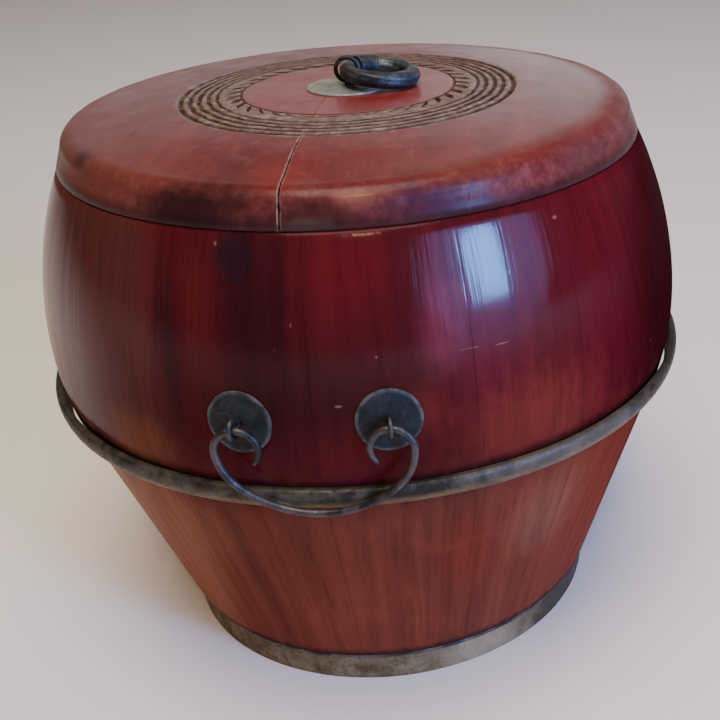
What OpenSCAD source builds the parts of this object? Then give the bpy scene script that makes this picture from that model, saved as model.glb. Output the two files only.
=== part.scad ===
// A coopered food tub with a lid. Upright staves stand under a loose middle hoop, a foot wire and
// a foot band; a boarded lid carries a ring pull; a bail handle hangs at the front and at the back.
// Millimetres, Z up. The tub stands on Z = 0 with its axis on the Z axis, front bail towards -Y.

/* [Body] */
// Height of the body without its lid
body_h = 234; // [210:1:260]
// Outer radius of the body at the mouth
mouth_r = 130; // [124:0.5:138]
// Outer radius of the body where it is widest
belly_r = 148; // [142:0.5:156]
// Height at which the body is widest
belly_z = 157; // [148:1:168]
// Radius of the curve by which the belly turns into the straight taper below it
turn_r = 110; // [90:1:125]
// Outer radius of the body at the lower end of its taper
hem_r = 106.5; // [105:0.5:114]
// Thickness of the staves
wall = 12; // [10.5:0.5:14]
// Number of staves
stave_count = 16; // [14:1:18]
// How far the joints between staves wander from even spacing, in degrees
stave_wander = 2; // [0:0.25:3]
// Softening of the body's upper edges
rim_ease = 0.8; // [0.4:0.1:1.5]
// Softening of the body's lower edge above the foot
hem_ease = 1.2; // [0.6:0.1:2]

/* [Bottom] */
// Height of the bottom boards above the floor
bottom_z = 24; // [21:0.5:36]
// Thickness of the bottom boards
bottom_t = 9; // [7:0.5:12]
// Depth of the groove in the staves that holds the bottom boards
croze_depth = 4; // [3:0.25:5]
// Half width of the middle bottom board
bottom_middle_w = 34; // [26:0.5:44]

/* [Dowels] */
// Radius of the bamboo dowels between staves
stave_dowel_r = 2; // [1.5:0.1:2.6]
// Length of the dowels between staves
stave_dowel_l = 20; // [14:1:26]
// Height of the lower dowels
stave_dowel_low = 62; // [50:1:90]
// Height of the upper dowels
stave_dowel_high = 196; // [180:1:204]
// Radius of the dowels in the lid and the bottom
board_dowel_r = 2.2; // [1.6:0.1:2.8]
// Length of the dowels in the lid and the bottom
board_dowel_l = 30; // [20:1:40]

/* [Lid] */
// Height of the middle of the lid above the mouth
lid_h = 21.5; // [19:0.5:26]
// Height of the upright edge of the lid
lid_edge_h = 8.5; // [6:0.5:10]
// Radius that rounds the edge of the lid over to its top
lid_round = 8; // [5:0.5:9]
// How far the edge of the lid leans inwards
lid_lean = 3; // [1:0.25:5]
// Depth of the lip that drops into the mouth
lip_depth = 5; // [3:0.5:8]
// Play of the lip in the mouth
lip_gap = 1; // [0.5:0.1:2]
// Softening of the lid's lower edges
lid_ease = 0.8; // [0.4:0.1:1.5]
// Place of the left board joint
lid_joint_left = -72; // [-85:0.5:-55]
// Place of the middle board joint, which has opened
lid_joint_middle = -7.5; // [-14:0.5:-6]
// Place of the right board joint
lid_joint_right = 60; // [45:0.5:80]
// Width of the opened joint
crack_w = 0.8; // [0.2:0.1:0.9]
// Distance of the lid's dowels from its middle
lid_dowel_y = 62; // [40:1:75]

/* [Turned grooves on the lid] */
// Radius of the outermost groove
band_r = 74.5; // [70:0.5:80]
// Number of close-set grooves
groove_count = 5; // [2:1:5]
// Distance between the close-set grooves
groove_pitch = 3.7; // [3:0.1:4.4]
// Radius of the groove round the middle panel
panel_r = 51.5; // [46:0.5:56]
// Width of a groove
groove_w = 1.6; // [1:0.1:2.4]
// Depth of a groove
groove_d = 0.8; // [0.4:0.1:1.4]

/* [Ring pull] */
// Radius of the round plate under the ring
lid_plate_r = 19; // [16:0.5:22]
// Thickness of that plate at its middle
lid_plate_t = 1.2; // [0.9:0.1:1.8]
// Middle radius of the split pin's eye
lid_eye_r = 5.3; // [5.2:0.1:7.5]
// Radius of the split pin's wire
pin_wire_r = 0.95; // [0.8:0.05:1.1]
// Length of each bent leg of the lid's split pin
lid_leg_l = 13; // [9:0.5:18]
// Middle radius of the ring
ring_r = 14.5; // [12.5:0.5:18]
// Radius of the ring's section
ring_tube_r = 3.7; // [3:0.1:3.9]
// Radius of the wire that binds the ring
binding_wire_r = 0.5; // [0.35:0.05:0.6]
// Number of turns of the binding wire
binding_turns = 10; // [6:1:12]

/* [Middle hoop] */
// Height of the hoop's lower edge
hoop_z = 126.5; // [118:0.5:130]
// Height of the hoop's section
hoop_h = 9.5; // [8:0.5:12]
// Thickness of the hoop
hoop_t = 4.2; // [3.6:0.1:5]
// Thickness of the hoop at its edges
hoop_edge_t = 1.6; // [1:0.1:2.4]
// How far the hoop stands off the body at the sides
hoop_slack = 1.5; // [0.5:0.1:2.5]

/* [Foot] */
// Depth of the seat that is cut into the staves for the foot band
foot_step = 4.5; // [3:0.25:6]
// Height of the foot band
foot_band_h = 13; // [10:0.5:16]
// Thickness of the foot band
foot_band_t = 1.6; // [1:0.1:2]
// Radius of the wire hoop above the foot band
foot_wire_r = 1.5; // [1.2:0.1:2]

/* [Bail handles] */
// Height of the four split pins that carry the bails
pin_z = 165; // [160:0.5:172]
// Angle of each pin from the middle of the front or back, in degrees
pin_angle = 11; // [9:0.25:13]
// Middle radius of the pins' eyes
pin_eye_r = 3.6; // [3.3:0.1:4.5]
// Length of each bent leg of the bails' split pins
pin_leg_l = 9; // [6:0.5:12]
// Radius of the round plates behind the eyes
plate_r = 13; // [11:0.5:14]
// Thickness of those plates at their middle
plate_t = 1.3; // [1:0.1:1.8]
// Radius of the bails' wire
bail_wire_r = 1.5; // [1.2:0.1:1.6]
// Radius of the open hooks at the ends of a bail
hook_r = 8.4; // [7:0.1:9.5]
// How far each hook curls in below its middle, in degrees
hook_curl = 50; // [20:1:70]
// Depth of a bail below its hooks' middles
bail_drop = 28.6; // [26:0.2:34]
// Radius of the bend between a bail's arm and its grip
bail_corner_r = 22; // [16:0.5:24]

/* [Hidden] */
$fn = 96;
wire_turns = 60;
wire_sides = 20;

// Clearance of pieces that are driven together
fit = 0.05;
// Clearance of the bottom boards in their groove
board_fit = 0.1;
// Clearance between a piece that swings and what it rests on
swing_gap = 0.35;
// Steps of the curves in the turned profiles
turn_steps = 5;
upper_steps = 9;
round_steps = 5;
hoop_steps = 6;
crown_steps = 5;

lacquer = [0.36, 0.09, 0.07];
bare_wood = [0.55, 0.36, 0.22];
bamboo = [0.78, 0.65, 0.42];
aged_brass = [0.42, 0.38, 0.25];
hoop_metal = [0.34, 0.35, 0.34];
iron = [0.17, 0.17, 0.18];
plate_metal = [0.22, 0.26, 0.26];

// ---- Outline of the body -------------------------------------------------------------------

// The taper is the straight line from the hem that meets the turning curve as its tangent.
foot_r = hem_r - foot_step;
hem_z = foot_band_h + 2 * foot_wire_r + fit;
turn_c = [belly_r - turn_r, belly_z];
from_hem = turn_c - [hem_r, hem_z];
taper = atan2(from_hem.x, from_hem.y) + asin(turn_r / norm(from_hem));
turn_z = belly_z - turn_r * sin(taper);
upper_rise = body_h - belly_z;
upper_in = belly_r - mouth_r;
upper_r = (upper_in * upper_in + upper_rise * upper_rise) / (2 * upper_in);

function drop_of(r, z) = r - sqrt(r * r - z * z);
function outer_at(z) =
    z > belly_z ? belly_r - drop_of(upper_r, z - belly_z) :
    z > turn_z ? belly_r - drop_of(turn_r, belly_z - z) :
    hem_r + (z - hem_z) * tan(taper);
function inner_at(z) = outer_at(z) - wall;

bend_zs = concat(
    [for (k = [0 : turn_steps]) turn_z + (belly_z - turn_z) * k / turn_steps],
    [for (k = [1 : upper_steps - 1]) belly_z + upper_rise * k / upper_steps],
    [body_h - rim_ease]);

bottom_top = bottom_z + bottom_t;
croze_r = inner_at(bottom_z + bottom_t / 2) + croze_depth;

stave_profile = concat(
    [[inner_at(hem_z), 0], [foot_r, 0], [foot_r, hem_z], [hem_r - hem_ease, hem_z]],
    [[outer_at(hem_z + hem_ease), hem_z + hem_ease]],
    [for (z = bend_zs) [outer_at(z), z]],
    [[mouth_r - rim_ease, body_h], [mouth_r - wall + rim_ease, body_h]],
    [for (k = [len(bend_zs) - 1 : -1 : 0]) [inner_at(bend_zs[k]), bend_zs[k]]],
    [[inner_at(bottom_top + board_fit), bottom_top + board_fit], [croze_r, bottom_top + board_fit]],
    [[croze_r, bottom_z - board_fit], [inner_at(bottom_z - board_fit), bottom_z - board_fit]],
    [[inner_at(hem_z), hem_z]]);

// ---- Staves ------------------------------------------------------------------------------------

// Joint i is the left side of stave i; joints 0 and stave_count / 2 lie at the front and back.
wander_waves = 5;
stave_dowel_zs = [stave_dowel_low, stave_dowel_high];
pin_azimuths = [-90 + pin_angle, 90 - pin_angle, 90 + pin_angle, 270 - pin_angle];
pin_shank_r = 1.6 * pin_wire_r;

function joint_at(i) =
    -90 + 360 * i / stave_count + stave_wander * sin(360 * wander_waves * i / stave_count);
function stave_name(i) = str("stave_", i < 9 ? "0" : "", i + 1);

module stave_dowel_at(i, z, r, l) {
    rotate([0, 0, joint_at(i)]) translate([outer_at(z) - wall / 2, 0, z])
        rotate([90, 0, 0]) cylinder(r = r, h = l, center = true);
}

module stave(i) {
    color(lacquer) difference() {
        rotate([0, 0, joint_at(i)])
            rotate_extrude(angle = joint_at(i + 1) - joint_at(i)) polygon(stave_profile);
        for (j = [i, i + 1], z = stave_dowel_zs)
            stave_dowel_at(j, z, stave_dowel_r + fit, stave_dowel_l + 2 * fit);
        for (a = pin_azimuths)
            if (a > joint_at(i) && a < joint_at(i + 1))
                on_body(a) cylinder(r = pin_shank_r + fit, h = 4 * wall, center = true);
    }
}

module stave_dowels() {
    color(bamboo) for (i = [0 : stave_count - 1], z = stave_dowel_zs)
        stave_dowel_at(i, z, stave_dowel_r, stave_dowel_l);
}

// ---- Boards of the bottom and the lid ----------------------------------------------------------

// Keeps what lies between two upright planes across X.
module between(x0, x1, r, z0, z1) {
    intersection() {
        children();
        translate([x0, -r, z0]) cube([x1 - x0, 2 * r, z1 - z0]);
    }
}

module board_dowel_at(x, y, z, r, l) {
    translate([x, y, z]) rotate([0, 90, 0]) cylinder(r = r, h = l, center = true);
}

bottom_r = croze_r - board_fit;
bottom_joints = [-bottom_middle_w, bottom_middle_w];
bottom_edges = [-bottom_r, -bottom_middle_w, bottom_middle_w, bottom_r];
bottom_dowel_y = bottom_r / 2;

module bottom_board(i) {
    color(bare_wood) difference() {
        between(bottom_edges[i], bottom_edges[i + 1], bottom_r, bottom_z, bottom_top)
            translate([0, 0, bottom_z]) cylinder(r = bottom_r, h = bottom_t);
        for (x = bottom_joints, side = [-1, 1])
            board_dowel_at(x, side * bottom_dowel_y, bottom_z + bottom_t / 2,
                board_dowel_r + fit, board_dowel_l + 2 * fit);
    }
}

module bottom_dowels() {
    color(bamboo) for (x = bottom_joints, side = [-1, 1])
        board_dowel_at(x, side * bottom_dowel_y, bottom_z + bottom_t / 2, board_dowel_r, board_dowel_l);
}

lip_r = mouth_r - wall - lip_gap;
crown_r = mouth_r - lid_lean - lid_round;
crown_edge_z = lid_edge_h + lid_round;
crown_power = 3;
groove_radii = concat([for (k = [0 : groove_count - 1]) band_r - k * groove_pitch], [panel_r]);
// The lid lies on the staves, a hair above them.
lid_z = body_h + fit;
lid_dowel_z = lid_edge_h / 2;
lid_joints = [lid_joint_left, lid_joint_middle, lid_joint_right];
lid_lefts = [-mouth_r, lid_joint_left, lid_joint_middle + crack_w / 2, lid_joint_right];
lid_rights = [lid_joint_left, lid_joint_middle - crack_w / 2, lid_joint_right, mouth_r];

function crown_at(r) = lid_h - (lid_h - crown_edge_z) * pow(r / crown_r, crown_power);
function shoulder_r(k) = crown_r + (band_r + groove_w - crown_r) * k / crown_steps;

lid_profile = concat(
    [[0, -lip_depth], [lip_r - lid_ease, -lip_depth], [lip_r, lid_ease - lip_depth], [lip_r, 0]],
    [[mouth_r - lid_ease, 0], [mouth_r, lid_ease]],
    [for (k = [0 : round_steps]) [crown_r, lid_edge_h]
        + lid_round * [cos(90 * k / round_steps), sin(90 * k / round_steps)]],
    [for (k = [1 : crown_steps]) [shoulder_r(k), crown_at(shoulder_r(k))]],
    [for (r = groove_radii, side = [1, 0, -1])
        [r + side * groove_w / 2, crown_at(r) - (side == 0 ? groove_d : 0)]],
    [[panel_r / 2, crown_at(panel_r / 2)], [0, lid_h]]);

module lid_board(i) {
    color(lacquer) difference() {
        between(lid_lefts[i], lid_rights[i], mouth_r, lid_z - lip_depth, lid_z + lid_h)
            translate([0, 0, lid_z]) rotate_extrude() polygon(lid_profile);
        for (x = lid_joints, side = [-1, 1])
            board_dowel_at(x, side * lid_dowel_y, lid_z + lid_dowel_z,
                board_dowel_r + fit, board_dowel_l + 2 * fit);
        translate([0, 0, lid_z - 2 * lip_depth])
            cylinder(r = pin_shank_r + fit, h = lid_h + 3 * lip_depth);
    }
}

module lid_dowels() {
    color(bamboo) for (x = lid_joints, side = [-1, 1])
        board_dowel_at(x, side * lid_dowel_y, lid_z + lid_dowel_z, board_dowel_r, board_dowel_l);
}

// ---- Hoops and foot ----------------------------------------------------------------------------

hoop_mid_z = hoop_z + hoop_h / 2;

// Half-round section whose inner side follows the staves.
hoop_section = concat(
    [for (k = [hoop_steps : -1 : 0]) let (z = hoop_z + hoop_h * k / hoop_steps) [outer_at(z) + fit, z]],
    [for (k = [0 : hoop_steps]) let (t = 180 * k / hoop_steps - 90, z = hoop_mid_z + hoop_h / 2 * sin(t))
        [outer_at(z) + fit + hoop_edge_t + (hoop_t - hoop_edge_t) * cos(t), z]]);

// Two half rings moved apart, with a short straight at the front and at the back.
module hoop() {
    color(hoop_metal) for (turn = [0, 180]) rotate([0, 0, turn]) {
        translate([hoop_slack, 0, 0]) rotate([0, 0, -90])
            rotate_extrude(angle = 180) polygon(hoop_section);
        translate([-hoop_slack, 0, 0]) rotate([90, 0, 90])
            linear_extrude(2 * hoop_slack) polygon(hoop_section);
    }
}

module foot_band() {
    band_ease = foot_band_t / 4;
    color(aged_brass) rotate_extrude() polygon([
        [foot_r + fit, 0], [foot_r + foot_band_t - band_ease, 0], [foot_r + foot_band_t, band_ease],
        [foot_r + foot_band_t, foot_band_h - band_ease],
        [foot_r + foot_band_t - band_ease, foot_band_h], [foot_r + fit, foot_band_h]]);
}

module foot_wire() {
    color(iron) translate([0, 0, foot_band_h + foot_wire_r + fit / 2])
        rotate_extrude() translate([foot_r + foot_wire_r + fit, 0]) circle(r = foot_wire_r);
}

// ---- Split pins and plates ---------------------------------------------------------------------

module wire_ring(r, wire_r) {
    rotate([90, 0, 0]) rotate_extrude($fn = wire_turns) translate([r, 0])
        circle(r = wire_r, $fn = wire_sides);
}

// Stands on the wood along +Z: the eye outside, the shank through it, two legs bent flat inside.
module split_pin(eye_r, eye_h, grip, leg_l) {
    tail = 1.5 * pin_wire_r;
    translate([0, 0, eye_h]) wire_ring(eye_r, pin_wire_r);
    translate([0, 0, -grip - tail]) cylinder(r = pin_shank_r, h = eye_h - eye_r + grip + tail);
    translate([0, 0, -grip - pin_wire_r - fit]) rotate([0, 90, 0])
        cylinder(r = pin_wire_r, h = 2 * leg_l, center = true);
}

// A washer, thinner and bent back towards its rim.
module round_plate(r, t, rim_back) {
    bore_r = pin_shank_r + fit;
    rim_t = 0.6 * t;
    rotate_extrude() polygon([
        [bore_r, fit], [r / 2, fit - rim_back / 4], [r, fit - rim_back], [r, rim_t / 2 - rim_back],
        [r - rim_t / 2, rim_t - rim_back], [bore_r, t]]);
}

// The body leans back a little behind the plates, and falls away behind their rims.
pin_surface_r = outer_at(pin_z);
pin_lean = atan((outer_at(pin_z - plate_r) - outer_at(pin_z + plate_r)) / (2 * plate_r));
flattest_r = max(belly_r, upper_r);
plate_rim_back = 0.7 * plate_r * plate_r / (2 * flattest_r);
// The bent legs of a pin bridge the hollow of the inside wall.
leg_bridge = pin_leg_l * pin_leg_l / (2 * turn_r);
hoop_front = outer_at(hoop_mid_z) + fit + hoop_t;

// Puts a child's +Z square to the body at an azimuth, at the height of the pins.
module on_body(azimuth) {
    rotate([0, 0, azimuth]) translate([pin_surface_r, 0, pin_z]) rotate([0, 90 - pin_lean, 0]) children();
}

// A bail hangs upright, clear of the hoop, with its hooks in the lower part of the eyes.
eye_out = max((hoop_front + bail_wire_r + swing_gap) / cos(pin_angle) - pin_surface_r,
    plate_t + pin_wire_r + pin_eye_r);
pin_eye_h = eye_out / cos(pin_lean);
pivot_y = (pin_surface_r + eye_out) * cos(pin_angle);
pivot_x = (pin_surface_r + eye_out) * sin(pin_angle);
pivot_z = pin_z + eye_out * tan(pin_lean) - (pin_eye_r - pin_wire_r - bail_wire_r - swing_gap);

module handle_plates() {
    color(plate_metal) for (a = pin_azimuths) on_body(a) round_plate(plate_r, plate_t, plate_rim_back);
}

module handle_pins() {
    color(iron) for (a = pin_azimuths) on_body(a)
        split_pin(pin_eye_r, pin_eye_h, wall + leg_bridge, pin_leg_l);
}

// ---- Bails -------------------------------------------------------------------------------------

// In the plane of the bail, X across and Z up from the pins: a hook, an arm's bend and the grip.
bail_half_w = pivot_x + hook_r;
corner_x = bail_half_w - bail_corner_r;
grip_r = (corner_x * corner_x + bail_drop * bail_drop - bail_corner_r * bail_corner_r)
    / (2 * (bail_drop - bail_corner_r));
grip_up = grip_r - bail_drop;
corner_turn = atan2(grip_up, corner_x);
// The wire is a little thicker where two bends meet.
forged_r = 1.04 * bail_wire_r;

module wire_arc(r, start, sweep) {
    rotate([90, 0, 0]) rotate([0, 0, start]) rotate_extrude(angle = sweep, $fn = wire_turns)
        translate([r, 0]) circle(r = bail_wire_r, $fn = wire_sides);
}

module half_bail() {
    translate([pivot_x, 0, -hook_r]) wire_arc(hook_r, 0, 180 + hook_curl);
    translate([corner_x, 0, -hook_r]) wire_arc(bail_corner_r, -corner_turn, corner_turn);
    for (turn = [0, corner_turn])
        translate([corner_x, 0, -hook_r]) rotate([0, turn, 0]) translate([bail_corner_r, 0, 0])
            sphere(r = forged_r, $fn = wire_sides);
}

module bail() {
    color(iron) translate([0, -pivot_y, pivot_z]) {
        half_bail();
        mirror([1, 0, 0]) half_bail();
        translate([0, 0, grip_up - hook_r]) wire_arc(grip_r, corner_turn - 180, 180 - 2 * corner_turn);
    }
}

// ---- Ring pull ---------------------------------------------------------------------------------

lid_top = lid_z + lid_h;
lid_eye_h = lid_plate_t + pin_wire_r + lid_eye_r;
// The ring lies in the lower right of the eye, and its far side lies just above the lid.
ring_seat_angle = -45;
ring_seat = lid_eye_r - pin_wire_r - ring_tube_r - swing_gap;
ring_pivot = [ring_seat * cos(ring_seat_angle), 0, lid_eye_h + ring_seat * sin(ring_seat_angle)];
ring_tilt = asin((ring_pivot.z - ring_tube_r - swing_gap) / (2 * ring_r));
binding_start = 102;
binding_pitch = 2.4 * binding_wire_r * 180 / (PI * ring_r);

module on_ring() {
    translate([0, 0, lid_top] + ring_pivot) rotate([0, ring_tilt, 0]) translate([ring_r, 0, 0]) children();
}

module lid_plate() {
    color(plate_metal) translate([0, 0, lid_top]) round_plate(lid_plate_r, lid_plate_t, 0);
}

module lid_pin() {
    color(iron) translate([0, 0, lid_top])
        split_pin(lid_eye_r, lid_eye_h, lid_h + lip_depth, lid_leg_l);
}

module ring_pull() {
    color(iron) on_ring() rotate_extrude() translate([ring_r, 0]) circle(r = ring_tube_r);
}

module ring_binding() {
    color(iron) on_ring() for (k = [0 : binding_turns - 1])
        rotate([0, 0, binding_start + k * binding_pitch]) translate([ring_r, 0, 0])
            wire_ring(ring_tube_r + binding_wire_r + fit, binding_wire_r);
}

// ---- Nodes -------------------------------------------------------------------------------------

for (i = [0 : stave_count - 1]) stave(i);
stave_dowels();
bottom_board(0);  // bottom_board_left
bottom_board(1);  // bottom_board_middle
bottom_board(2);  // bottom_board_right
bottom_dowels();
hoop();  // middle_hoop
foot_wire();
foot_band();
handle_plates();
handle_pins();
bail();  // bail_front
rotate([0, 0, 180]) bail();  // bail_back
lid_board(0);  // lid_board_left
lid_board(1);  // lid_board_mid_left
lid_board(2);  // lid_board_mid_right
lid_board(3);  // lid_board_right
lid_dowels();
lid_plate();
lid_pin();
ring_pull();
ring_binding();
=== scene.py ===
"""Looks for the lidded rice tub: every visible piece is built here in mesh code, in the frame of the CAD.

Sizes are in millimetres, as in the part's source, and become metres when a mesh is made. Materials see the
tub in metres, so limits along x, y, z and r that aren't multiplied by MM are metres.
"""
from math import asin, atan, atan2, cos, degrees, exp, hypot, pi, radians, sin, sqrt, tan

import bmesh
import bpy
import numpy as np
from mathutils import Matrix, Vector, noise


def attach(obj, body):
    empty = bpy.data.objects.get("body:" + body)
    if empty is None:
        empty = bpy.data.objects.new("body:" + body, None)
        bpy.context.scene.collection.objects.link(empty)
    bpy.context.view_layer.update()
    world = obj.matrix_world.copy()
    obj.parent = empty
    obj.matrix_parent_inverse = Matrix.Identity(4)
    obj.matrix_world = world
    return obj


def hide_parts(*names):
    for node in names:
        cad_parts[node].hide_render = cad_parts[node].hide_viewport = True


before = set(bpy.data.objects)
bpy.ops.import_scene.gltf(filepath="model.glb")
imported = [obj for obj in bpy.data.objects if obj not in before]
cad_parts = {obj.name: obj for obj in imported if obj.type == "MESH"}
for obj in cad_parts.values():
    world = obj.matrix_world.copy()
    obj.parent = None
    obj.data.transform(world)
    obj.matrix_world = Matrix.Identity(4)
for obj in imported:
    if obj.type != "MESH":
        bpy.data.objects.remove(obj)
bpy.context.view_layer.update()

MM = 0.001
RNG = np.random.default_rng(7)

# ---- Sizes shared with the part's source ----

# Body: outline, foot, wall, clearance between pieces, foot band and wire, bottom and staves.
BODY_H, MOUTH_R, BELLY_R, BELLY_Z, TURN_R = 234, 130, 148, 157, 110
HEM_R, FOOT_R, WALL, FIT = 106.5, 102, 12, 0.05
BAND_H, BAND_T, FOOT_WIRE_R = 13, 1.6, 1.5
HEM_Z = BAND_H + 2 * FOOT_WIRE_R + FIT
BOTTOM_Z, BOTTOM_T, CROZE = 24, 9, 4
STAVES, WANDER = 16, 2
# Lid: heights, rounding, the lip inside the mouth and the joints between the boards.
LID_H, EDGE_H, ROUND_R, LEAN, LIP_DEPTH, LIP_R = 21.5, 8.5, 8, 3, 5, 117
LID_Z = BODY_H + FIT
LID_TOP = LID_Z + LID_H
CROWN_R = MOUTH_R - LEAN - ROUND_R
LID_JOINTS = (-72, -7.5, 60)
OPEN_JOINT = LID_JOINTS[1]
# Middle hoop, then the handles: split pins, plates and bails.
HOOP_Z, HOOP_H, HOOP_T, HOOP_EDGE, HOOP_SLACK = 126.5, 9.5, 4.2, 1.6, 1.5
PIN_Z, PIN_ANGLE, PIN_EYE_R, PIN_WIRE_R, PIN_LEG = 165, 11, 3.6, 0.95, 9
AZIMUTHS = (-90 + PIN_ANGLE, 90 - PIN_ANGLE, 90 + PIN_ANGLE, 270 - PIN_ANGLE)
PLATE_R, PLATE_T = 13, 1.3
BAIL_R, HOOK_R, HOOK_CURL, BAIL_DROP, CORNER_R = 1.5, 8.4, 50, 28.6, 22
# Ring pull: plate and pin, ring and binding.
LID_PLATE_R, LID_PLATE_T, LID_EYE_R, LID_LEG = 19, 1.2, 5.3, 13
RING_R, RING_TUBE, BIND_R, SWING_GAP = 14.5, 3.7, 0.5, 0.35

from_hem = (BELLY_R - TURN_R - HEM_R, BELLY_Z - HEM_Z)
TAPER = atan2(*from_hem) + asin(TURN_R / hypot(*from_hem))
TURN_Z = BELLY_Z - TURN_R * sin(TAPER)
UPPER_IN = BELLY_R - MOUTH_R
UPPER_R = (UPPER_IN ** 2 + (BODY_H - BELLY_Z) ** 2) / (2 * UPPER_IN)


def outer_at(z):
    """Radius of the body's outside at a height."""
    if z > BELLY_Z:
        return BELLY_R - UPPER_R + sqrt(UPPER_R ** 2 - (z - BELLY_Z) ** 2)
    if z > TURN_Z:
        return BELLY_R - TURN_R + sqrt(TURN_R ** 2 - (BELLY_Z - z) ** 2)
    return HEM_R + (z - HEM_Z) * tan(TAPER)


def inner_at(z):
    """Radius of the body's inside at a height."""
    return outer_at(max(z, HEM_Z)) - WALL


def joint_at(i):
    """Azimuth of a joint between staves, in radians."""
    return radians(-90 + 360 * i / STAVES + WANDER * sin(radians(360 * 5 * i / STAVES)))


def crown_at(r):
    """Height of the lid's domed top over its seat."""
    return LID_H - (LID_H - EDGE_H - ROUND_R) * (r / CROWN_R) ** 3


# ---- Mesh helpers ----

def wob(x, y, z, seed=0):
    """Smooth noise between about -1 and 1."""
    return noise.noise(Vector((x + 31.7 * seed, y - 17.3 * seed, z + 5.1 * seed)))


def clamped(value, low, high):
    return max(low, min(high, value))


def new_mesh(name, verts, faces, attrs):
    """A mesh in metres from points in millimetres, with a number per point for each named attribute."""
    mesh = bpy.data.meshes.new(name)
    mesh.from_pydata([tuple(c * MM for c in v) for v in verts], [], faces)
    for key, values in attrs.items():
        layer = mesh.attributes.new(key, "FLOAT", "POINT")
        layer.data.foreach_set("value", np.asarray(values, np.float32))
    return mesh


def finish_piece(mesh, work, material, body, nodes, sharp):
    """Writes a bmesh to a mesh, faces outwards, and makes it a piece of a body that stands for nodes."""
    bmesh.ops.recalc_face_normals(work, faces=work.faces)
    work.to_mesh(mesh)
    work.free()
    mesh.shade_smooth()
    mesh.set_sharp_from_angle(angle=radians(sharp))
    mesh.materials.append(material)
    piece = bpy.data.objects.new(mesh.name, mesh)
    bpy.context.scene.collection.objects.link(piece)
    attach(piece, body)
    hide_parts(*nodes)


def add_piece(name, verts, faces, material, body, node, sharp, attrs):
    """Makes a piece from points in millimetres."""
    mesh = new_mesh(name, verts, faces, attrs)
    work = bmesh.new()
    work.from_mesh(mesh)
    finish_piece(mesh, work, material, body, [node], sharp)


def add_wire(name, wire, material, body, node):
    """Makes a piece from a plain wire, (verts, faces)."""
    verts, faces = wire
    add_piece(name, verts, faces, material, body, node, 60, {"edge": [0] * len(verts)})


def grid_faces(rows, cols, wrap_rows=False, wrap_cols=False, start=0):
    """Quads over a grid of points stored row by row."""
    faces = []
    for i in range(rows if wrap_rows else rows - 1):
        for j in range(cols if wrap_cols else cols - 1):
            a, b = i * cols, (i + 1) % rows * cols
            k = (j + 1) % cols
            faces.append((start + a + j, start + b + j, start + b + k, start + a + k))
    return faces


def frames_along(points, closed):
    """The points with a normal and a binormal each, which turn as little as they can."""
    pts = np.asarray(points, float)
    if closed:
        tangent = np.roll(pts, -1, 0) - np.roll(pts, 1, 0)
    else:
        tangent = np.gradient(pts, axis=0)
    tangent /= np.linalg.norm(tangent, axis=1)[:, None]
    normal = np.zeros_like(pts)
    seed = np.array([0.0, 1.0, 0.0]) if abs(tangent[0][1]) < 0.9 else np.array([1.0, 0.0, 0.0])
    for i, t in enumerate(tangent):
        seed = seed - t * (seed @ t)
        seed /= np.linalg.norm(seed)
        normal[i] = seed
    return pts, normal, np.cross(tangent, normal)


def tube(points, radius, sides, closed=False):
    """A round wire along points. radius is a number or a function of (share of length, angle)."""
    pts, normal, binormal = frames_along(points, closed)
    count = len(pts)
    verts = []
    for i in range(count):
        for a, c, s in turned(sides):
            r = radius(i / (count - 1), a) if callable(radius) else radius
            verts.append(pts[i] + r * (c * normal[i] + s * binormal[i]))
    faces = grid_faces(count, sides, wrap_rows=closed, wrap_cols=True)
    if not closed:
        for i in (0, count - 1):
            tip = len(verts)
            verts.append(pts[i])
            faces += [(i * sides + j, i * sides + (j + 1) % sides, tip) for j in range(sides)]
    return verts, faces


def rounded_tips(r, length):
    """A wire's radius along a length, rounded off at both ends to a blunt tip."""
    def radius(s, _angle):
        d = min(s, 1 - s) * length
        return r if d > r else r * max(0.35, sqrt(max(0, 1 - (1 - d / r) ** 2)))
    return radius


def arc(centre, radius, start, end, count):
    """Points of an arc in the XZ plane, between two angles in degrees."""
    out = []
    for k in range(count + 1):
        a = radians(start + (end - start) * k / count)
        out.append((centre[0] + radius * cos(a), 0, centre[1] + radius * sin(a)))
    return out


def mirrored(points):
    """The points with x turned round, from last to first."""
    return [(-x, y, z) for x, y, z in reversed(points)]


def turned(count):
    """The angle of each of count steps round a circle, with its cosine and sine."""
    angles = [2 * pi * i / count for i in range(count)]
    return [(a, cos(a), sin(a)) for a in angles]


def moved(points, matrix):
    return [tuple(matrix @ Vector(p)) for p in points]


def join(parts):
    """Puts several (verts, faces) lists into one."""
    verts, faces = [], []
    for v, f in parts:
        faces += [tuple(k + len(verts) for k in face) for face in f]
        verts += v
    return verts, faces


# ---- Material helpers ----

def rgb(r, g, b):
    """A colour from 8-bit sRGB."""
    def lin(c):
        c /= 255
        return c / 12.92 if c <= 0.04045 else ((c + 0.055) / 1.055) ** 2.4
    return (lin(r), lin(g), lin(b), 1)


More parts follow.
